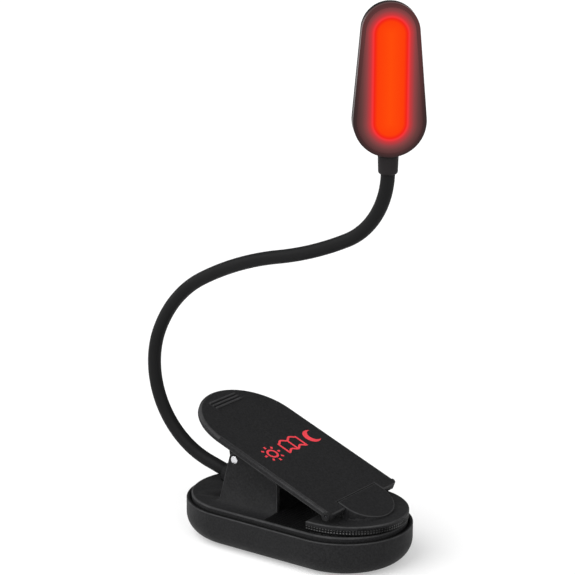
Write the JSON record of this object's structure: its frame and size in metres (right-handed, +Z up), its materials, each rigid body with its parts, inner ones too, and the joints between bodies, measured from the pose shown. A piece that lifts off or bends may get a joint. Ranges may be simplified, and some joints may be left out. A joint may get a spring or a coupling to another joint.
{
  "type": "clip-on reading lamp",
  "caption": "Rechargeable reading lamp: an oval base with a sprung book clip, a thin bendable neck and a slim upright light head.",
  "frame": {"origin": "middle of the base's flat underside", "axes": "+Z up; +X along the base from the lever's tail to the jaw; +Y towards the side with the charging port and the button"},
  "size_m": [0.1029, 0.0435, 0.1759],
  "materials": {
    "casing": "satin black moulded plastic",
    "pad_rubber": "matte black rubber with a fine texture",
    "neck_rubber": "matte black silicone",
    "steel": "plain steel",
    "port_metal": "plated steel shell",
    "brass": "plain brass",
    "cell_wrap": "foil wrap",
    "tape": "foam tape",
    "board": "glass-fibre board with green mask",
    "chips": "moulded packages",
    "indicator": "clear light pipe",
    "plunger": "moulded plastic",
    "lead_cover": "insulated wire",
    "smoked_lens": "smoked clear plastic",
    "diffuser": "orange light diffuser",
    "reflector": "white moulded reflector",
    "led": "phosphor packages"
  },
  "bodies": {
    "base": {"base_tray": "casing", "base_cover": "casing", "base_pad": "pad_rubber", "battery_cell": "cell_wrap", "battery_tape": "tape", "circuit_board": "board", "usb_port": "port_metal", "tact_switch": "chips", "charge_indicator": "indicator", "board_parts": "chips", "case_screws": "steel", "board_screws": "steel", "battery_leads": "lead_cover", "neck_leads": "lead_cover", "neck_ferrule": "brass", "hinge_pin": "steel", "torsion_spring": "steel", "neck_sleeve_root": "neck_rubber", "neck_wire_root": "steel", "neck_lead_pair_root": "lead_cover"},
    "lever": {"clip_lever": "casing", "jaw_pin": "steel"},
    "jaw": {"jaw_holder": "casing", "jaw_pad": "pad_rubber"},
    "button": {"power_button": "casing", "switch_plunger": "plunger"},
    "neck_span_1": {"neck_sleeve_1": "neck_rubber", "neck_wire_1": "steel", "neck_lead_pair_1": "lead_cover"},
    "neck_span_2": {"neck_sleeve_2": "neck_rubber", "neck_wire_2": "steel", "neck_lead_pair_2": "lead_cover"},
    "neck_span_3": {"neck_sleeve_3": "neck_rubber", "neck_wire_3": "steel", "neck_lead_pair_3": "lead_cover"},
    "neck_span_4": {"neck_sleeve_4": "neck_rubber", "neck_wire_4": "steel", "neck_lead_pair_4": "lead_cover"},
    "neck_span_5": {"neck_sleeve_5": "neck_rubber", "neck_wire_5": "steel", "neck_lead_pair_5": "lead_cover"},
    "neck_span_6": {"neck_sleeve_6": "neck_rubber", "neck_wire_6": "steel", "neck_lead_pair_6": "lead_cover"},
    "head": {"neck_sleeve_tip": "neck_rubber", "neck_wire_tip": "steel", "neck_lead_pair_tip": "lead_cover", "head_collar": "neck_rubber", "head_rear_shell": "casing", "head_bezel": "casing", "head_lens": "smoked_lens", "head_diffuser": "diffuser", "head_reflector": "reflector", "led_board": "board", "leds": "led", "head_leads": "lead_cover"}
  },
  "joints": [
    {"name": "lever_open", "type": "hinge", "parent": "base", "child": "lever", "pos_m": [-0.01675, 0, 0.0272], "axis": [0, -1, 0], "range_deg": [0, 22], "stiffness_Nm_per_rad": 0.34, "springref_deg": -20.05, "deforming": ["torsion_spring"]},
    {"name": "jaw_rock", "type": "hinge", "parent": "lever", "child": "jaw", "pos_m": [0.02337, 0, 0.01953], "axis": [0, -1, 0], "range_deg": [-22, 0]},
    {"name": "power_press", "type": "slide", "parent": "base", "child": "button", "axis": [0, -1, 0], "range_m": [0, 0.0005], "stiffness_N_per_m": 600, "springref_m": -0.0005},
    {"name": "neck_bend_1", "type": "hinge", "parent": "base", "child": "neck_span_1", "pos_m": [-0.0383, 0, 0.0205], "axis": [0, 1, 0], "range_deg": [-28, 28]},
    {"name": "neck_sway_1", "type": "hinge", "parent": "neck_span_1", "child": "neck_span_2", "pos_m": [-0.05571, 0, 0.03744], "axis": [-0.9267, 0, -0.3757], "range_deg": [-24, 24]},
    {"name": "neck_bend_2", "type": "hinge", "parent": "neck_span_2", "child": "neck_span_3", "pos_m": [-0.05502, 0, 0.06173], "axis": [0, -1, 0], "range_deg": [-28, 28]},
    {"name": "neck_sway_2", "type": "hinge", "parent": "neck_span_3", "child": "neck_span_4", "pos_m": [-0.03857, 0, 0.08005], "axis": [-0.5123, 0, 0.8588], "range_deg": [-24, 24]},
    {"name": "neck_bend_3", "type": "hinge", "parent": "neck_span_4", "child": "neck_span_5", "pos_m": [-0.01577, 0, 0.09018], "axis": [0, 1, 0], "range_deg": [-28, 28]},
    {"name": "neck_sway_3", "type": "hinge", "parent": "neck_span_5", "child": "neck_span_6", "pos_m": [0.00812, 0, 0.09748], "axis": [-0.3693, 0, 0.9293], "range_deg": [-24, 24]},
    {"name": "neck_bend_4", "type": "hinge", "parent": "neck_span_6", "child": "head", "pos_m": [0.02822, 0, 0.11147], "axis": [0, -1, 0], "range_deg": [-28, 28]}
  ],
  "couplings": [
    {"joint": "jaw_rock", "follows": "lever_open", "ratio": -1}
  ]
}
